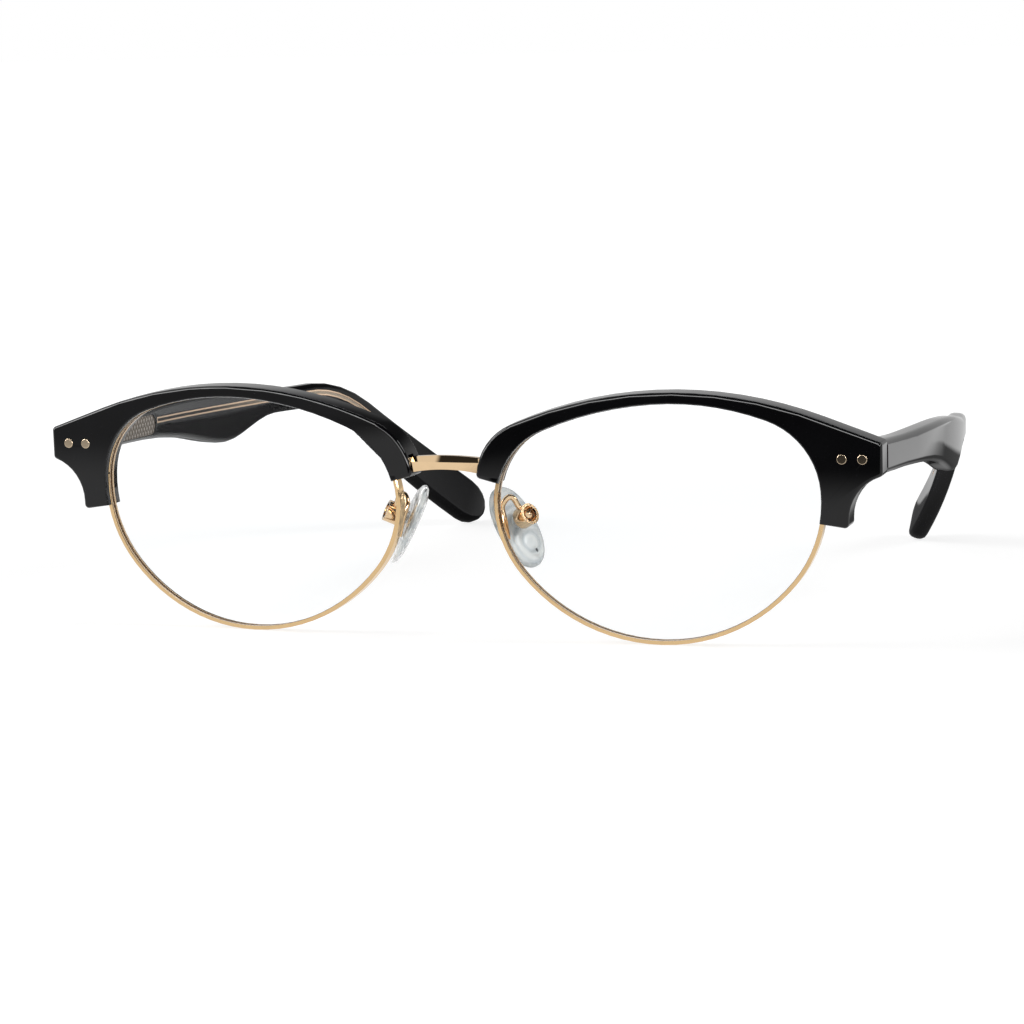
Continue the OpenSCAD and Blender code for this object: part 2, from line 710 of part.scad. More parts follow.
plate_x = temple_x - temple_t;
plate_y = joint_y + joint_gap + 0.4;

// The plate lies along the leg
module plate_solid(play = 0)
    translate([plate_x - (play > 0 ? over : 0), plate_y, hinge_z])
        rotate([-$drop, 0, 0])
            translate([0, -play, -plate_h / 2 - play]) {
                cube([plate_t + play + (play > 0 ? over : 0), plate_l - plate_h / 2 + play, plate_h + 2 * play]);
                translate([0, plate_l - plate_h / 2 + play, plate_h / 2 + play])
                    rotate([0, 90, 0])
                        cylinder(r = plate_h / 2 + play, h = plate_t + play + (play > 0 ? over : 0));
            }

module temple_hinge() color(steel) in_row() difference() {
    half = mid_half - barrel_gap;
    union() {
        plate_solid();
        barrel(-half, half, barrel_r);
        translate([axis_x, plate_y, hinge_z - half])
            cube([plate_x + 0.2 - axis_x, axis_y + barrel_r - plate_y, 2 * half]);
    }
    barrel(-hinge_h, hinge_h, pin_r + pin_play);
}

// Stations of the loft: close together where the outline turns
cap_r = tip_h / 2;
function body_stations() = concat(
    [for (s = [0 : 6 : 36]) s],
    [for (i = [0 : 11]) 39 + i * (neck_at - 39) / 11],
    [for (i = [1 : 14]) mix(neck_at, temple_len(), i / 14)]
);
cap_angles = [20, 40, 58, 74, 85];

module temple() color(acetate) in_row() difference() {
    loft(concat(
        [for (s = body_stations()) box_ring(s, thick(s) / 2, above(s), below(s))],
        [
            for (a = cap_angles)
                box_ring(temple_len() + cap_r * sin(a), thick(temple_len()) / 2 * pow(cos(a), 0.35),
                    cap_r * cos(a), cap_r * cos(a))
        ]
    ));
    plate_solid(seat_play);
    core_strip(0.03, over);
}

core_from = plate_l + 0.9;
module core_strip(play = 0, out = 0) {
    h = core_h / 2 + play;
    loft([
        for (i = [0 : 26])
            let(s = core_from + i * core_l / 26, x0 = -thick(s) / 2 - out, x1 = -thick(s) / 2 + core_t + play)
                [
                    temple_point(s, x1, core_up - h), temple_point(s, x1, core_up + h),
                    temple_point(s, x0, core_up + h), temple_point(s, x0, core_up - h)
                ]
    ]);
}

module core_wire() color(gold) in_row() core_strip();

// The pad's own frame: X away from the nose, Y to the back and Z up along the pad
module in_pad() in_row() translate([pad_x, pad_y, pad_z]) rotate([0, -pad_lean, 0]) rotate([0, 0, -pad_splay]) children();
function out_of_pad(p) =
    let(
        a = [p[0] * cos(pad_splay) + p[1] * sin(pad_splay), p[1] * cos(pad_splay) - p[0] * sin(pad_splay), p[2]],
        b = [a[0] * cos(pad_lean) - a[2] * sin(pad_lean), a[1], a[0] * sin(pad_lean) + a[2] * cos(pad_lean)]
    )
        b + [pad_x, pad_y, pad_z];

module along_x(x0, x1, r0, r1) translate([x0, 0, ball_z]) rotate([0, 90, 0]) cylinder(r1 = r0, r2 = r1, h = x1 - x0);

function pad_ring(x, k) = [
    for (i = [0 : 35])
        let(a = -i * 10, c = cos(a), s = sin(a))
            [
                x,
                k * pad_w / 2 * sign(c) * pow(abs(c), 0.88),
                k * pad_l / 2 * sign(s) * pow(abs(s), 0.92) + 0.2 * (1 - k)
            ]
];
pad_face = pad_t / 2;
collar_x = pad_face + 0.5;

module insert_solid(play = 0) {
    along_x(-play, insert_t + play, insert_r + play, insert_r + play);
    along_x(insert_t / 2, collar_x, 1.5 + play, 0.9 + play);
}

module nose_pad() color("#e4e7e6", 0.7) in_pad() difference() {
    loft([
        pad_ring(-pad_face, 0.55), pad_ring(-pad_face * 0.86, 0.8), pad_ring(-pad_face * 0.5, 0.94),
        pad_ring(0, 1), pad_ring(pad_face * 0.5, 0.97), pad_ring(pad_face * 0.85, 0.88),
        pad_ring(pad_face, 0.74)
    ]);
    insert_solid(0.02);
    along_x(-0.1, pad_t, post_r + 0.02, post_r + 0.02);
}

module pad_insert() color("#d9dcdb") in_pad() difference() {
    insert_solid();
    along_x(0.1, pad_t, post_r + 0.01, post_r + 0.01);
}

module pad_stud() color(gold) in_pad() {
    along_x(0.12, ball_x, post_r, post_r);
    translate([ball_x, 0, ball_z]) sphere(r = ball_r);
}

cup_x = ball_x - 1.35;
// The ball rests on the edge of the hole in the cup's floor, with a little play
ball_play = 0.03;
cup_floor = 1.35 - sqrt(pow(ball_r + ball_play, 2) - pow(cup_hole_r, 2));

module pad_cup() color(gold) in_pad() difference() {
    along_x(cup_x, cup_x + cup_d, cup_r, cup_r);
    along_x(cup_x + cup_floor, cup_x + cup_d + over, cup_r - cup_wall, cup_r - cup_wall);
    along_x(cup_x - over, cup_x + cup_d, cup_hole_r, cup_hole_r);
}

// The arm leaves the back of the wire, loops over and comes down on the cup's side
function bent(p) =
    [p[0] * cos(wrap) - p[1] * sin(wrap), p[0] * sin(wrap) + p[1] * cos(wrap), p[2]];
function front_point(x, y, z) =
    let(d = z + bow(x))
        bent([x, -y * sin(tilt) - d * cos(tilt), y * cos(tilt) - d * sin(tilt)]);
function nasal_x(y) = min([for (p = eye_points(wire_w / 2)) abs(p[1] - y) < 1.6 ? p[0] : eye_x]);
cup_side = out_of_pad([cup_x + cup_d * 0.55, -0.5, ball_z + cup_r * 0.86]);
arm_back = -wire_d - arm_r * 0.8;
arm_foot = front_point(nasal_x(arm_foot_z) + 0.25, arm_foot_z, arm_back);
arm_leg = front_point(nasal_x(arm_foot_z + 3) + 0.4, arm_foot_z + 3, arm_back - 0.6);
arm_rise = front_point(nasal_x(arm_top_z - 1.4) + 0.1, arm_top_z - 1.4, arm_back - 1.2);
arm_over = [arm_rise[0] + 0.7, arm_rise[1] + 0.8, arm_top_z];
arm_points = [
    2 * arm_foot - arm_leg, arm_foot, arm_leg, arm_rise, arm_over,
    mix(arm_over, cup_side, 0.45) + [0.1, 0, 0.6], cup_side, 2 * cup_side - arm_over
];
function spline(p, t) =
    let(i = floor(t), u = t - i, a = p[i], b = p[i + 1], c = p[i + 2], d = p[min(i + 3, len(p) - 1)])
        0.5 * (2 * b + (c - a) * u + (2 * a - 5 * b + 4 * c - d) * u * u + (3 * b - a - 3 * c + d) * u * u * u);
function unit(v) = v / norm(v);
arm_n = 22;
arm_line = [for (i = [0 : arm_n]) spline(arm_points, i * 5 / (arm_n + 0.001))];

module pad_arm() color(gold) difference() {
    in_row() loft([
        for (i = [0 : arm_n])
            let(
                t = unit(arm_line[min(i + 1, arm_n)] - arm_line[max(i - 1, 0)]),
                u = unit(cross(t, [0, 1, 0.2])),
                v = cross(t, u)
            )
                [for (j = [0 : 9]) arm_line[i] + arm_r * (cos(-36 * j) * u + sin(-36 * j) * v)]
    ]);
    in_front() translate([0, 0, bow(pad_x)]) slab(eye_points(2), -wire_d, 1);
    in_front() slab(eye_points(0), -wire_d - 0.9, 1);
    in_pad() along_x(cup_x - 1, cup_x + cup_d + 2, cup_r, cup_r);
}

brow();  // brow_left
other_side() brow();  // brow_right
rim();  // rim_left
other_side() rim();  // rim_right
lens();  // lens_left
other_side() lens();  // lens_right
closing_block();  // closing_block_left
other_side() closing_block();  // closing_block_right
rim_screw();  // rim_screw_left
other_side() rim_screw();  // rim_screw_right
bridge();
brow_screw();  // brow_screw_left
other_side() brow_screw();  // brow_screw_right
pad_arm();  // pad_arm_left
other_side() pad_arm();  // pad_arm_right
pad_cup();  // pad_cup_left
other_side() pad_cup();  // pad_cup_right
nose_pad();  // nose_pad_left
other_side() nose_pad();  // nose_pad_right
pad_insert();  // pad_insert_left
other_side() pad_insert();  // pad_insert_right
pad_stud();  // pad_stud_left
other_side() pad_stud();  // pad_stud_right
front_hinge();  // front_hinge_left
other_side() front_hinge();  // front_hinge_right
front_rivets();  // front_rivets_left
other_side() front_rivets();  // front_rivets_right
hinge_screw();  // hinge_screw_left
other_side() hinge_screw();  // hinge_screw_right
temple();  // temple_left
other_side() temple($drop = drop_right);  // temple_right
temple_hinge();  // temple_hinge_left
other_side() temple_hinge($drop = drop_right);  // temple_hinge_right
core_wire();  // core_wire_left
other_side() core_wire($drop = drop_right);  // core_wire_right
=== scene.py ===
import json
import math

import bmesh
import bpy
from mathutils import Matrix, Vector

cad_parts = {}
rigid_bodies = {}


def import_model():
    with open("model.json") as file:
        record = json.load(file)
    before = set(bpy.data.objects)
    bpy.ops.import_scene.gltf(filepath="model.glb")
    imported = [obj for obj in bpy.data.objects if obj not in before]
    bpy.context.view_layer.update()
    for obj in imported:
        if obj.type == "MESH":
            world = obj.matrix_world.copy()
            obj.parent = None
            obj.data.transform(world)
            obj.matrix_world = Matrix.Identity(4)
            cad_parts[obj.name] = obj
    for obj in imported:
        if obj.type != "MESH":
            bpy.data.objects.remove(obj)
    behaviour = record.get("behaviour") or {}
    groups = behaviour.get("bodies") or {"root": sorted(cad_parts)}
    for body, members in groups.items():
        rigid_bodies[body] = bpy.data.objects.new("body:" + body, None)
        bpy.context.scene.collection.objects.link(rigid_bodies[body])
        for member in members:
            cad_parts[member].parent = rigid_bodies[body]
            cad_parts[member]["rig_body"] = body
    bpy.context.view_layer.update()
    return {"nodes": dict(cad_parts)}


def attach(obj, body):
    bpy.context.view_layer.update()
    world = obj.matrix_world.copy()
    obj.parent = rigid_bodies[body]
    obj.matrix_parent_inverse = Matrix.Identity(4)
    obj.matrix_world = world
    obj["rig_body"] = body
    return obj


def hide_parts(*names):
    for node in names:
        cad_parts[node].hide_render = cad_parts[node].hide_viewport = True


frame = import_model()
nodes = frame["nodes"]
scene = bpy.context.scene
mm = 0.001
sides = ("left", "right")
print("frame loaded with", len(nodes), "nodes")

# The camera stands as in the photograph: to the wearer's left, a little above, turned slightly
cameraView = {
    "target": (10.74, -61.375, 20.64),
    "azimuth": 20.51,
    "elevation": 8.14,
    "roll": -1.53,
    "distance": 629.8,
    "lens": 140.6,
    "sensor": 36,
    "clip": (0.05, 20),
}


def placeCamera(view):
    azimuth, elevation, roll = (math.radians(view[k]) for k in ("azimuth", "elevation", "roll"))
    level = math.cos(elevation)
    ahead = Vector((-math.sin(azimuth) * level, math.cos(azimuth) * level, -math.sin(elevation)))
    right = Vector((math.cos(azimuth), math.sin(azimuth), 0))
    up = right.cross(ahead)
    turnedRight = right * math.cos(roll) + up * math.sin(roll)
    turnedUp = up * math.cos(roll) - right * math.sin(roll)
    data = bpy.data.cameras.new("viewCamera")
    data.lens = view["lens"]
    data.sensor_width = view["sensor"]
    data.clip_start, data.clip_end = view["clip"]
    camera = bpy.data.objects.new("viewCamera", data)
    place = Vector(view["target"]) * mm - ahead * view["distance"] * mm
    turn = Matrix((turnedRight, turnedUp, -ahead)).transposed().to_4x4()
    camera.matrix_world = Matrix.Translation(place) @ turn
    scene.collection.objects.link(camera)
    scene.camera = camera


placeCamera(cameraView)


class NodeTree:
    # Short ways to add nodes and to join them
    def __init__(self, tree):
        self.tree = tree

    def add(self, kind, values=None, **settings):
        node = self.tree.nodes.new(kind)
        for key, value in settings.items():
            setattr(node, key, value)
        for socket, value in (values or {}).items():
            if isinstance(value, bpy.types.NodeSocket):
                self.tree.links.new(value, node.inputs[socket])
            else:
                node.inputs[socket].default_value = value
        return node

    def times(self, a, b):
        return self.add("ShaderNodeMath", {0: a, 1: b}, operation="MULTIPLY").outputs[0]

    def step(self, value, start, end):
        # Goes softly from 0 at the start to 1 at the end, whichever of the two is higher
        return self.add(
            "ShaderNodeMapRange", {0: value, 1: start, 2: end, 3: 0.0, 4: 1.0},
            interpolation_type="SMOOTHSTEP").outputs[0]

    def blend(self, factor, a, b):
        return self.add("ShaderNodeMix", {0: factor, 2: a, 3: b}, data_type="FLOAT").outputs[0]

    def rays(self, *kinds):
        # 1 for a ray of any of these kinds
        path = self.add("ShaderNodeLightPath")
        total = path.outputs[kinds[0]]
        for kind in kinds[1:]:
            total = self.add(
                "ShaderNodeMath", {0: total, 1: path.outputs[kind]}, operation="MAXIMUM").outputs[0]
        return total


class Finish(NodeTree):
    # A material with one main shader, and short ways to hang textures on it
    def __init__(self, name, values):
        self.material = bpy.data.materials.new(name)
        self.material.use_nodes = True
        super().__init__(self.material.node_tree)
        self.shader = self.tree.nodes["Principled BSDF"]
        for socket, value in values.items():
            self.shader.inputs[socket].default_value = value
        self.place = self.add("ShaderNodeTexCoord").outputs["Object"]

    def feed(self, socket, source):
        self.tree.links.new(source, self.shader.inputs[socket])

    def axes(self):
        return self.add("ShaderNodeSeparateXYZ", {0: self.place}).outputs

    def noise(self, scale, detail):
        return self.add(
            "ShaderNodeTexNoise", {"Vector": self.place, "Scale": scale, "Detail": detail}).outputs["Fac"]

    def ranged(self, source, low, high, fromLow=0.3, fromHigh=0.7):
        return self.add(
            "ShaderNodeMapRange", {0: source, 1: fromLow, 2: fromHigh, 3: low, 4: high}).outputs[0]

    def tint(self, source, stops):
        # The base colour, from (position, colour) pairs along the source
        node = self.add("ShaderNodeValToRGB", {"Fac": source})
        while len(node.color_ramp.elements) < len(stops):
            node.color_ramp.elements.new(0.5)
        for element, (position, colour) in zip(node.color_ramp.elements, stops):
            element.position = position
            element.color = (*colour, 1)
        self.feed("Base Color", node.outputs["Color"])

    def mottle(self, scale, dark, pale, detail=3, start=0.3, end=0.7):
        # Soft clouds between two tones
        self.tint(self.noise(scale, detail), [(start, dark), (end, pale)])

    def polish(self, scale, finest, dullest, detail=4):
        self.feed("Roughness", self.ranged(self.noise(scale, detail), finest, dullest))

    def bump(self, height, distance, strength=1.0):
        node = self.add("ShaderNodeBump", {"Height": height, "Distance": distance, "Strength": strength})
        self.feed("Normal", node.outputs["Normal"])


def makeAcetate():
    look = {
        "deep": (0.0035, 0.0035, 0.0042), "shallow": (0.0075, 0.0075, 0.009), "cloudScale": 90,
        "polish": (0.03, 0.045), "scratchScale": 1400, "waveScale": 180, "waveDepth": 0.0000012,
    }
    finish = Finish("blackAcetate", {"Specular IOR Level": 0.34, "IOR": 1.5})
    finish.mottle(look["cloudScale"], look["deep"], look["shallow"], detail=4, start=0.35)
    finish.polish(look["scratchScale"], *look["polish"], detail=6)
    finish.bump(finish.noise(look["waveScale"], detail=1), look["waveDepth"], strength=0.5)
    return finish.material


def makeGold(name, colour, polish):
    look = {
        "toneScale": 420, "toneDrop": 0.93, "grainScale": 3800,
        "rippleScale": 2600, "rippleDepth": 0.000003,
    }
    finish = Finish(name, {"Metallic": 1.0})
    darker = tuple(c * look["toneDrop"] for c in colour)
    finish.mottle(look["toneScale"], darker, colour)
    finish.polish(look["grainScale"], *polish, detail=5)
    finish.bump(finish.noise(look["rippleScale"], detail=2), look["rippleDepth"], strength=0.4)
    return finish.material


def makeBevelGold():
    # The crown of the bevel, as a normal that turns along the bar
    look = {"colour": (0.8, 0.58, 0.35, 1), "crown": 26.0, "polish": (0.015, 0.04), "grainScale": 3800}
    finish = Finish("bevelGold", {"Metallic": 1.0, "Base Color": look["colour"]})
    along = finish.axes()[0]
    finish.polish(look["grainScale"], *look["polish"])
    finish.bump(finish.times(finish.times(along, along), -look["crown"]), 1.0)
    return finish.material


def makeCoreMiddlePaintedLight():
    # The sunk middle of the core strip, with painted shade along the leg and a paler painted reflection in
    # the bend
    look = {
        "leg": (0.03, 0.025, 0.022), "bend": (0.5, 0.42, 0.33), "change": (-0.01, 0.02),
        "polish": (0.25, 0.45), "grainScale": 3000,
    }
    finish = Finish("coreMiddlePaintedLight", {"Metallic": 0.6})
    along = finish.ranged(finish.axes()[1], 0, 1, *look["change"])
    finish.tint(along, [(0.0, look["leg"]), (1.0, look["bend"])])
    finish.polish(look["grainScale"], *look["polish"])
    return finish.material


def makeSteel():
    look = {
        "dark": (0.42, 0.4, 0.38), "pale": (0.6, 0.58, 0.56), "toneScale": 900,
        "polish": (0.22, 0.4), "grainScale": 6000,
    }
    finish = Finish("turnedSteel", {"Metallic": 1.0})
    finish.mottle(look["toneScale"], look["dark"], look["pale"], detail=4)
    finish.polish(look["grainScale"], *look["polish"])
    return finish.material


def makeHingePlate():
    # Two crossed sets of fine grooves make the knurled face, with painted shade darkening the grooves
    look = {
        "groove": (0.2, 0.17, 0.14), "crest": (0.5, 0.45, 0.4), "polish": (0.42, 0.3),
        "pitch": 2300, "turn": 0.6, "depth": 0.00003,
    }
    finish = Finish("knurledPlate", {"Metallic": 1.0})
    crossed = []
    for turn in (look["turn"], -look["turn"]):
        turned = finish.add("ShaderNodeMapping", {"Vector": finish.place, "Rotation": (turn, 0, 0)})
        wave = finish.add(
            "ShaderNodeTexWave", {"Vector": turned.outputs[0], "Scale": look["pitch"] / 6.28},
            bands_direction="Y")
        crossed.append(wave.outputs["Fac"])
    knurl = finish.times(*crossed)
    # The grooves are painted darker as painted shade, the crests keep the steel's tone
    finish.tint(knurl, [(0.05, look["groove"]), (0.5, look["crest"])])
    finish.feed("Roughness", finish.ranged(knurl, *look["polish"], fromLow=0, fromHigh=1))
    finish.bump(knurl, look["depth"], strength=0.8)
    return finish.material


def makeLensGlass():
    # A coated lens mirrors little, so its index stands lower than that of bare plastic
    look = {"colour": (0.985, 0.995, 1.0, 1), "index": 1.18, "waveScale": 60, "waveDepth": 0.0000006}
    finish = Finish("clearLens", {
        "Base Color": look["colour"], "Transmission Weight": 1.0, "IOR": look["index"], "Roughness": 0.0})
    finish.bump(finish.noise(look["waveScale"], detail=1), look["waveDepth"], strength=0.2)
    return finish.material


def makeLensEdgePaintedReflection():
    # From the front of the edge to its back: the lines that the groove and the ground edge draw, painted on
    # as a painted reflection of the gold groove, with the dark lines as painted shade
    pale, dark, warm = (0.62, 0.45, 0.27), (0.05, 0.026, 0.014), (0.3, 0.18, 0.09)
    look = {
        "lines": [
            (0.0, warm), (0.06, pale), (0.3, pale), (0.38, dark), (0.44, dark), (0.5, warm), (0.6, pale),
            (0.72, warm), (0.8, pale), (0.95, pale), (1.0, dark)],
        "polish": (0.2, 0.32), "grainScale": 3000,
    }
    finish = Finish("lensEdge", {"Metallic": 0.8})
    share = finish.add("ShaderNodeAttribute", attribute_name="depthShare").outputs["Fac"]
    finish.tint(share, look["lines"])
    finish.polish(look["grainScale"], *look["polish"], detail=3)
    return finish.material


def makeSilicone(side, centre):
    # Soft clear silicone with the rings that the mould leaves round its gate
    look = {
        "clear": (0.6, 0.64, 0.66), "milky": (0.74, 0.77, 0.77), "white": (0.84, 0.86, 0.85),
        "ringScale": 190.0, "ringDepth": 0.00009, "polish": (0.12, 0.24), "grainScale": 300,
    }
    finish = Finish("padSilicone_" + side, {
        "Transmission Weight": 0.62, "IOR": 1.38, "Specular IOR Level": 0.4})
    centred = finish.add(
        "ShaderNodeMapping", {"Vector": finish.place, "Location": tuple(-c for c in centre)})
    rings = finish.add("ShaderNodeTexWave", {
        "Vector": centred.outputs[0], "Scale": look["ringScale"], "Distortion": 1.4, "Detail": 1.0,
        "Detail Scale": 0.6}, wave_type="RINGS", rings_direction="SPHERICAL").outputs["Fac"]
    finish.tint(rings, [(0.0, look["clear"]), (0.35, look["milky"]), (0.75, look["white"])])
    finish.polish(look["grainScale"], *look["polish"], detail=3)
    finish.bump(rings, look["ringDepth"], strength=0.6)
    return finish.material


def makePinMark():
    look = {
        "dark": (0.03, 0.03, 0.035), "pale": (0.1, 0.1, 0.11), "toneScale": 2500,
        "polish": (0.4, 0.6), "grainScale": 1500,
    }
    finish = Finish("pinMark", {"IOR": 1.4})
    finish.mottle(look["toneScale"], look["dark"], look["pale"])
    finish.polish(look["grainScale"], *look["polish"], detail=2)
    return finish.material


def makeInsert():
    look = {
        "dark": (0.72, 0.74, 0.75), "pale": (0.85, 0.87, 0.87), "toneScale": 800,
        "polish": (0.25, 0.4), "grainScale": 2500,
    }
    finish = Finish("padInsert", {"Transmission Weight": 0.6, "IOR": 1.45})
    finish.mottle(look["toneScale"], look["dark"], look["pale"])
    finish.polish(look["grainScale"], *look["polish"], detail=3)
    return finish.material


acetate = makeAcetate()
rimGold = makeGold("rimGold", (0.72, 0.505, 0.27), (0.08, 0.15))
bridgeGold = makeGold("bridgeGold", (0.8, 0.58, 0.35), (0.02, 0.05))
bevelGold = makeBevelGold()
fineGold = makeGold("fittingGold", (0.74, 0.53, 0.32), (0.05, 0.1))
rivetGold = makeGold("rivetGold", (0.7, 0.56, 0.4), (0.03, 0.06))
coreGold = makeGold("coreGold", (0.78, 0.58, 0.42), (0.16, 0.28))
lensEdge = makeLensEdgePaintedReflection()
coreMiddlePaintedLight = makeCoreMiddlePaintedLight()
steel = makeSteel()
hingePlate = makeHingePlate()
lensGlass = makeLensGlass()
insertPlastic = makeInsert()
pinMark = makePinMark()
print("finishes made")


def newPiece(name, shape, material, body, sharpAngle, replaced=()):
    mesh = bpy.data.meshes.new(name)
    for face in shape.faces:
        face.smooth = True
    shape.to_mesh(mesh)
    shape.free()
    if "custom_normal" in mesh.attributes:
        mesh.attributes.remove(mesh.attributes["custom_normal"])
    mesh.set_sharp_from_angle(angle=math.radians(sharpAngle))
    mesh.materials.append(material)
    piece = bpy.data.objects.new(name, mesh)
    scene.collection.objects.link(piece)
    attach(piece, body)
    if replaced:
        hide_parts(*replaced)
    return piece


def mergedCopy(nodeName, gap=0.0003):
    # The node's loose triangles, joined where their corners meet
    shape = bmesh.new()
    shape.from_mesh(nodes[nodeName].data)
    bmesh.ops.remove_doubles(shape, verts=shape.verts, dist=gap * mm)
    bmesh.ops.dissolve_degenerate(shape, edges=shape.edges, dist=gap * mm)
    return shape


def withFlatFaces(nodeName, slack=0.5):
    # Each flat face of the node becomes one face again
    shape = mergedCopy(nodeName)
    bmesh.ops.dissolve_limit(
        shape, angle_limit=math.radians(slack), use_dissolve_boundaries=False, verts=shape.verts,
        edges=shape.edges)
    return shape


def roundEdges(shape, width, segments, keep, sharpest=40):
    # A small radius along the chosen sharp edges, which is where polished edges catch the light
    shape.normal_update()
    sharp = [
        e for e in shape.edges
        if len(e.link_faces) == 2 and e.calc_face_angle() > math.radians(sharpest) and keep(e)]
    bmesh.ops.bevel(
        shape, geom=sharp, offset=width * mm, offset_type="OFFSET", segments=segments, profile=0.5,
        affect="EDGES", material=-1, clamp_overlap=True, loop_slide=False)


def smoothTwin(nodeName, material, sharpAngle, shape=None):
    # The node's own form, with its facets shaded as the curved faces they stand for
    shape = shape or mergedCopy(nodeName)
    first, _, side = nodeName.rpartition("_")
    pieceName = first + side.capitalize() if side in sides else nodeName + "Bar"
    piece = newPiece(
        pieceName, shape, material, nodes[nodeName]["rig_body"], sharpAngle, (nodeName,))
    weighted = piece.modifiers.new("weightedNormals", "WEIGHTED_NORMAL")
    weighted.keep_sharp = True
    return piece


browEdge = {
    "round": 0.5, "segments": 4, "shortest": 0.01, "flatSlack": 1.0, "lensCentre": (34.6, 20.0),
    "facing": 0.9, "sideways": 0.6,
}


def makeBrow(side):
    # The outer edges of the front face are rounded, the ones round the lens stay crisp
    shape = withFlatFaces("brow_" + side, browEdge["flatSlack"])
    x, z = browEdge["lensCentre"]
    centre = Vector((x if side == "left" else -x, 0, z)) * mm

    def isOuter(edge):
        front = [f for f in edge.link_faces if f.normal.y < -browEdge["facing"]]
        rest = [f for f in edge.link_faces if abs(f.normal.y) < browEdge["sideways"]]
        if len(front) != 1 or len(rest) != 1 or edge.calc_length() < browEdge["shortest"] * mm:
            return False
        middle = (edge.verts[0].co + edge.verts[1].co) / 2 - centre
        return rest[0].normal.x * middle.x + rest[0].normal.z * middle.z > 0

    roundEdges(shape, browEdge["round"], browEdge["segments"], isOuter)
    smoothTwin("brow_" + side, acetate, sharpAngle=30, shape=shape)


lensFaces = {"facing": 0.93, "middleShare": 0.5}


def makeLens(side):
    # The ground edge of the lens takes the colour of the groove that it sits in, as a painted reflection of
    # the groove with painted shade
    piece = smoothTwin("lens_" + side, lensGlass, sharpAngle=20)
    piece.data.materials.append(lensEdge)
    share = piece.data.attributes.new("depthShare", "FLOAT", "POINT")
    for value in share.data:
        value.value = lensFaces["middleShare"]
    for face in piece.data.polygons:
        isEdge = abs(face.normal.y) < lensFaces["facing"]
        # Edge faces take the painted reflection and painted shade of the groove
        face.material_index = 1 if isEdge else 0
        if not isEdge:
            for corner in face.vertices:
                share.data[corner].value = 0.0 if face.normal.y < 0 else 1.0
    piece.visible_shadow = False


rivetHead = {"round": 0.09, "segments": 3, "ring": 0.07, "sink": 0.03, "area": 1.0, "middleArea": 0.5}


def makeRivets(side):
    # A thin rounded ring round a flat, mirror-bright middle on each head
    shape = withFlatFaces("front_rivets_" + side)

    def frontFaces(facing, area):
        return [f for f in shape.faces if f.normal.y < -facing and f.calc_area() > area * mm * mm]

    outline = {e for f in frontFaces(0.9, rivetHead["area"]) for e in f.edges}
    roundEdges(shape, rivetHead["round"], rivetHead["segments"], lambda e: e in outline)
    bmesh.ops.inset_individual(
        shape, faces=frontFaces(0.999, rivetHead["middleArea"]), thickness=rivetHead["ring"] * mm,
        depth=-rivetHead["sink"] * mm)
    smoothTwin("front_rivets_" + side, rivetGold, sharpAngle=30, shape=shape)


bridgeBevel = {"forward": 0.3, "upward": 0.3}


def makeBridge():
    # The bevel along the upper front edge is polished with a slight crown, so it mirrors its own way
    shape = withFlatFaces("bridge")
    for face in shape.faces:
        if face.normal.y < -bridgeBevel["forward"] and face.normal.z > bridgeBevel["upward"]:
            face.material_index = 1
    piece = smoothTwin("bridge", bridgeGold, sharpAngle=30, shape=shape)
    piece.data.materials.append(bevelGold)


for side in sides:
    makeBrow(side)
    smoothTwin("temple_" + side, acetate, sharpAngle=40)
    smoothTwin("rim_" + side, rimGold, sharpAngle=30)
    makeLens(side)
    makeRivets(side)
makeBridge()
print("fronts, rims, lenses and temples dressed")

# Each strip has a raised line along both edges and a sunk middle
coreStrip = {"edge": 0.26, "wall": 0.02, "sink": 0.08, "facing": 0.7, "flatSlack": 3, "cornerSlack": 60}


def makeCoreStrip(side):
    shape = mergedCopy("core_wire_" + side)
    inward = -1 if side == "left" else 1
    bmesh.ops.join_triangles(
        shape, faces=shape.faces, angle_face_threshold=math.radians(coreStrip["flatSlack"]),
        angle_shape_threshold=math.radians(coreStrip["cornerSlack"]))
    shape.normal_update()
    inner = [f for f in shape.faces if f.normal.x * inward > coreStrip["facing"]]
    bmesh.ops.inset_region(shape, faces=inner, thickness=coreStrip["edge"] * mm, use_even_offset=True)
    bmesh.ops.inset_region(
        shape, faces=inner, thickness=coreStrip["wall"] * mm, depth=-coreStrip["sink"] * mm,
        use_even_offset=True)
    # The sunk middle takes the painted shade and painted reflection
    for face in inner:
        face.material_index = 1
    piece = smoothTwin("core_wire_" + side, coreGold, sharpAngle=30, shape=shape)
    piece.data.materials.append(coreMiddlePaintedLight)


for side in sides:
    makeCoreStrip(side)
print("core wires made")

# The pad's own frame, as in the part: X away from the nose, Z up along the pad
pad = {
    "centre": (9.2, -55.215, 17.3), "lean": 28, "splay": 25, "length": 14.0, "width": 8.4,
    "gate": (0.5, 0.6, -3.2), "segments": 48, "crown": 0.04, "lift": 0.2,
    "capSteps": (0.84, 0.98),
    # Powers under 1 make the outline a little fuller than an oval
    "widthPower": 0.88, "lengthPower": 0.92,
    # The profile: the place along X and the share of the full outline there
    "rings": ((-0.9, 0.55), (-0.78, 0.8), (-0.45, 0.94), (0, 1), (0.45, 0.97), (0.765, 0.88), (0.9, 0.74)),
}


def padFrame(side):
    lean = Matrix.Rotation(math.radians(-pad["lean"]), 4, "Y")
    splay = Matrix.Rotation(math.radians(-pad["splay"]), 4, "Z")
    place = Matrix.Translation(Vector(pad["centre"]) * mm) @ (lean @ splay)
    return Matrix.Scale(-1, 4, (1, 0, 0)) @ place if side == "right" else place


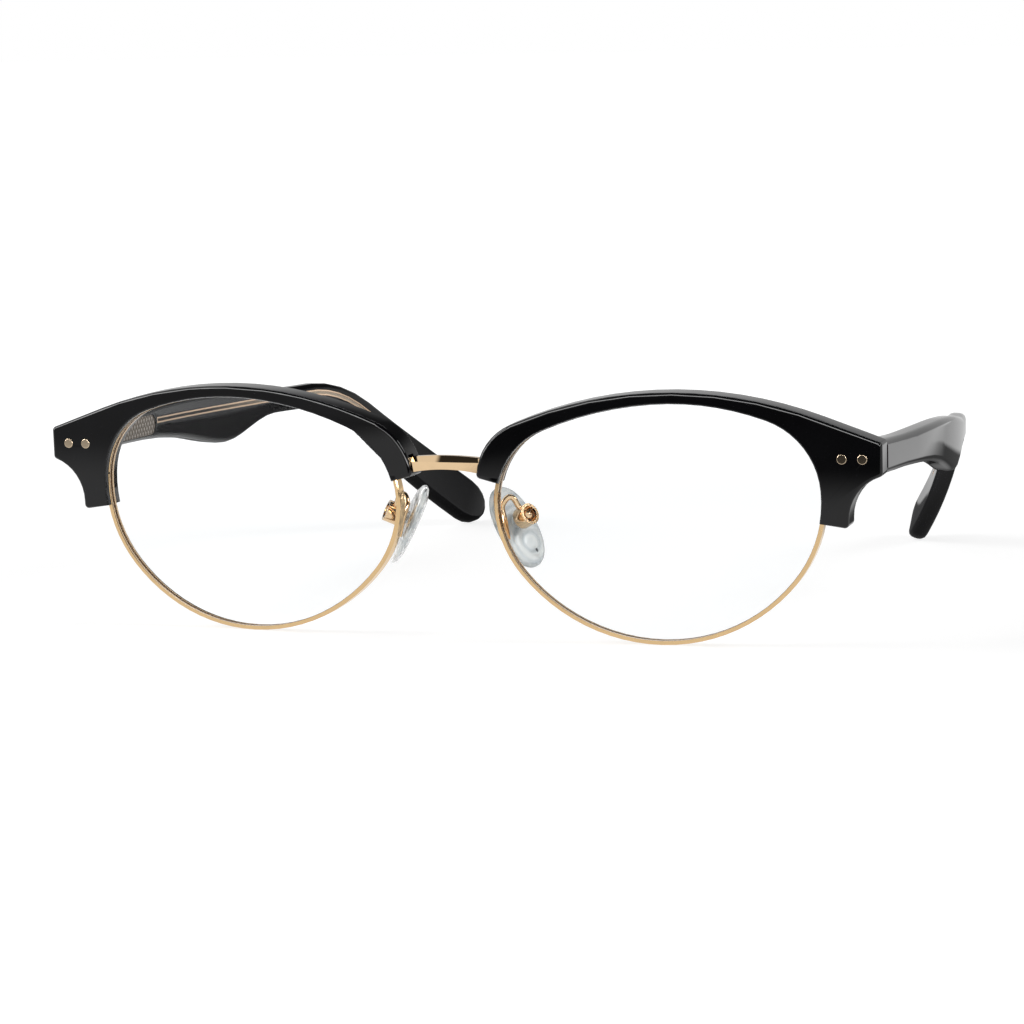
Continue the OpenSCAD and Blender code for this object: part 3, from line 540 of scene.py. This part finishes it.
def makePad(side):
    shape = bmesh.new()
    verts = bmesh.ops.create_circle(shape, cap_ends=False, segments=pad["segments"], radius=1)["verts"]
    edges = shape.edges[:]
    unit = {}
    for v in verts:
        across, along = v.co.x, v.co.y
        unit[v] = (
            math.copysign(abs(across) ** pad["widthPower"], across),
            math.copysign(abs(along) ** pad["lengthPower"], along))
    loops = []
    for i, (height, share) in enumerate(pad["rings"]):
        if i:
            grown = bmesh.ops.extrude_edge_only(shape, edges=edges)["geom"]
            verts = [g for g in grown if isinstance(g, bmesh.types.BMVert)]
            edges = [g for g in grown if isinstance(g, bmesh.types.BMEdge)]
            unit.update({
                v: min(unit.items(), key=lambda item: (item[0].co - v.co).length)[1] for v in verts})
        loops.append(list(verts))
        for v in verts:
            y, z = unit[v]
            lift = pad["lift"] * (1 - share)
            v.co = Vector((height, y * share * pad["width"] / 2, z * share * pad["length"] / 2 + lift)) * mm
    for loop in (loops[0], loops[-1]):
        rim = [e for e in shape.edges if e.is_boundary and e.verts[0] in loop and e.verts[1] in loop]
        cap = bmesh.ops.holes_fill(shape, edges=rim, sides=0)["faces"]
        for width in pad["capSteps"]:
            bmesh.ops.inset_region(
                shape, faces=cap, thickness=width * mm, depth=pad["crown"] * mm if loop is loops[0] else 0)
    shape.transform(padFrame(side))
    bmesh.ops.recalc_face_normals(shape, faces=shape.faces)
    gate = padFrame(side) @ (Vector(pad["gate"]) * mm)
    piece = newPiece(
        "nosePad" + side.capitalize(), shape, makeSilicone(side, gate), "pad_" + side,
        sharpAngle=60, replaced=("nose_pad_" + side,))
    piece.visible_shadow = False


mouldMark = {"place": (0.88, 0.9, -4.7), "radius": 0.24, "stretch": (0.35, 1, 1.5)}


def makeMouldMark(side):
    # The small dark pin mark near the pad's lower end
    shape = bmesh.new()
    bmesh.ops.create_uvsphere(shape, u_segments=16, v_segments=8, radius=mouldMark["radius"] * mm)
    bmesh.ops.scale(shape, vec=mouldMark["stretch"], verts=shape.verts)
    bmesh.ops.translate(shape, vec=Vector(mouldMark["place"]) * mm, verts=shape.verts)
    shape.transform(padFrame(side))
    bmesh.ops.recalc_face_normals(shape, faces=shape.faces)
    newPiece("mouldMark" + side.capitalize(), shape, pinMark, "pad_" + side, sharpAngle=60)


for side in sides:
    makePad(side)
    makeMouldMark(side)
    smoothTwin("pad_insert_" + side, insertPlastic, sharpAngle=40)
    smoothTwin("pad_stud_" + side, fineGold, sharpAngle=40)
    smoothTwin("pad_cup_" + side, fineGold, sharpAngle=40)
    smoothTwin("pad_arm_" + side, fineGold, sharpAngle=50)
print("nose pads made")

hardware = {
    "closing_block": (rimGold, "gold"), "rim_screw": (steel, "steel"), "brow_screw": (steel, "steel"),
    "front_hinge": (steel, "steel"), "hinge_screw": (steel, "steel"), "temple_hinge": (hingePlate, "steel"),
}
for side in sides:
    for first, (material, slotName) in hardware.items():
        smoothTwin(first + "_" + side, material, sharpAngle=30)
print("hinges, screws and closing blocks dressed")

floorPaper = {"size": 6.0, "colour": (0.3, 0.3, 0.3, 1), "glow": 0.8, "farGlow": 1.0, "fade": (0.1, 0.3)}

# The paper as polished faces mirror it: the light of each zone, and the places where it starts
mirroredPaper = {
    "front": 0.05,
    "left": 0.4, "leftStart": (-0.06, -0.13),
    "card": 1.0, "cardLeft": (-0.105, -0.09), "cardRight": (-0.04, -0.055),
    "under": 1.0, "underStart": (-0.215, -0.17),
    "inside": 0.1, "insideStart": (0.0, 0.06),
    "beyond": 0.7, "beyondStart": (0.144, 0.158), "beyondSlope": -0.4,
    "right": 1.15, "rightStart": (0.085, 0.115),
}


def mirroredLight(finish):
    zone = mirroredPaper
    x, y = finish.axes()[:2]
    front = finish.blend(finish.step(x, *zone["leftStart"]), zone["front"], zone["left"])
    # One light card in front of the bridge
    card = finish.times(finish.step(x, *zone["cardLeft"]), finish.step(x, *zone["cardRight"]))
    front = finish.blend(card, front, zone["card"])
    front = finish.blend(finish.step(y, *zone["underStart"]), front, zone["under"])
    aslant = finish.add(
        "ShaderNodeMath", {0: x, 1: zone["beyondSlope"], 2: y}, operation="MULTIPLY_ADD").outputs[0]
    back = finish.blend(finish.step(aslant, *zone["beyondStart"]), zone["inside"], zone["beyond"])
    back = finish.blend(finish.step(x, *zone["rightStart"]), back, zone["right"])
    return finish.blend(finish.step(y, *zone["insideStart"]), front, back)


def makeFloor():
    shape = bmesh.new()
    bmesh.ops.create_grid(shape, x_segments=1, y_segments=1, size=floorPaper["size"] / 2)
    mesh = bpy.data.meshes.new("floor")
    shape.to_mesh(mesh)
    shape.free()
    floor = bpy.data.objects.new("floor", mesh)
    scene.collection.objects.link(floor)
    finish = Finish("floorPaper", {
        "Base Color": floorPaper["colour"], "Roughness": 1.0, "Specular IOR Level": 0.0})
    plain = finish.shader.outputs[0]
    white = (1, 1, 1, 1)
    light = finish.add("ShaderNodeEmission", {"Color": white, "Strength": mirroredLight(finish)})
    distance = finish.add("ShaderNodeVectorMath", {0: finish.place}, operation="LENGTH").outputs["Value"]
    glow = finish.blend(
        finish.step(distance, *floorPaper["fade"]), floorPaper["glow"], floorPaper["farGlow"])
    seen = finish.add("ShaderNodeEmission", {"Color": white, "Strength": glow})
    paper = finish.add("ShaderNodeAddShader", {0: plain, 1: seen.outputs[0]})
    isMirrored = finish.rays("Is Glossy Ray")
    isSeen = finish.rays("Is Camera Ray", "Is Transmission Ray")
    first = finish.add("ShaderNodeMixShader", {0: isMirrored, 1: plain, 2: light.outputs[0]})
    second = finish.add("ShaderNodeMixShader", {0: isSeen, 1: first.outputs[0], 2: paper.outputs[0]})
    finish.tree.links.new(second.outputs[0], finish.tree.nodes["Material Output"].inputs["Surface"])
    mesh.materials.append(finish.material)


# The room by direction: a grey wall, a dark ceiling that is lighter on the left, and a long light
# low in front that draws the thin line along every polished upper edge
room = {
    "wall": 0.62,
    "ceiling": 0.03, "ceilingStart": (0.2, 0.45),
    "leftCeiling": 0.9, "leftStart": (-0.42, -0.5),
    "strip": 12.0, "stripLow": (0.06, 0.09), "stripHigh": (0.24, 0.2), "stripFront": (-0.3, -0.5),
}


def makeWorld():
    world = bpy.data.worlds.new("studioWorld")
    world.use_nodes = True
    scene.world = world
    sky = NodeTree(world.node_tree)
    direction = sky.add("ShaderNodeTexCoord").outputs["Generated"]
    x, y, z = sky.add("ShaderNodeSeparateXYZ", {0: direction}).outputs
    overhead = sky.blend(sky.step(x, *room["leftStart"]), room["ceiling"], room["leftCeiling"])
    level = sky.blend(sky.step(z, *room["ceilingStart"]), room["wall"], overhead)
    inStrip = sky.times(sky.step(z, *room["stripLow"]), sky.step(z, *room["stripHigh"]))
    inStrip = sky.times(inStrip, sky.step(y, *room["stripFront"]))
    inStrip = sky.times(inStrip, sky.rays("Is Glossy Ray"))
    level = sky.blend(inStrip, level, room["strip"])
    strength = sky.blend(sky.rays("Is Camera Ray", "Is Transmission Ray"), level, 1.0)
    background = sky.tree.nodes["Background"]
    background.inputs["Color"].default_value = (1, 1, 1, 1)
    sky.tree.links.new(strength, background.inputs["Strength"])


softboxes = {
    "keySoftbox": {"place": (-0.95, -0.4, 0.7), "aim": (0, 0, 0.02), "size": (0.5, 0.5), "power": 7},
    "backStrip": {"place": (-0.42, 0.75, 0.86), "aim": (0, -0.02, 0.03), "size": (1.3, 0.1), "power": 1.3},
    "sideSoftbox": {"place": (0.9, 0.1, 0.75), "aim": (0, 0, 0.02), "size": (0.4, 0.4), "power": 4},
}


def addSoftbox(name, box):
    data = bpy.data.lights.new(name, "AREA")
    data.shape = "RECTANGLE"
    data.size, data.size_y = box["size"]
    data.energy = box["power"]
    lamp = bpy.data.objects.new(name, data)
    lamp.location = box["place"]
    lamp.rotation_mode = "QUATERNION"
    lamp.rotation_quaternion = (Vector(box["aim"]) - Vector(box["place"])).to_track_quat("-Z", "Y")
    scene.collection.objects.link(lamp)


makeFloor()
makeWorld()
for name, box in softboxes.items():
    addSoftbox(name, box)
scene.view_settings.view_transform = "Standard"
print("studio lit")
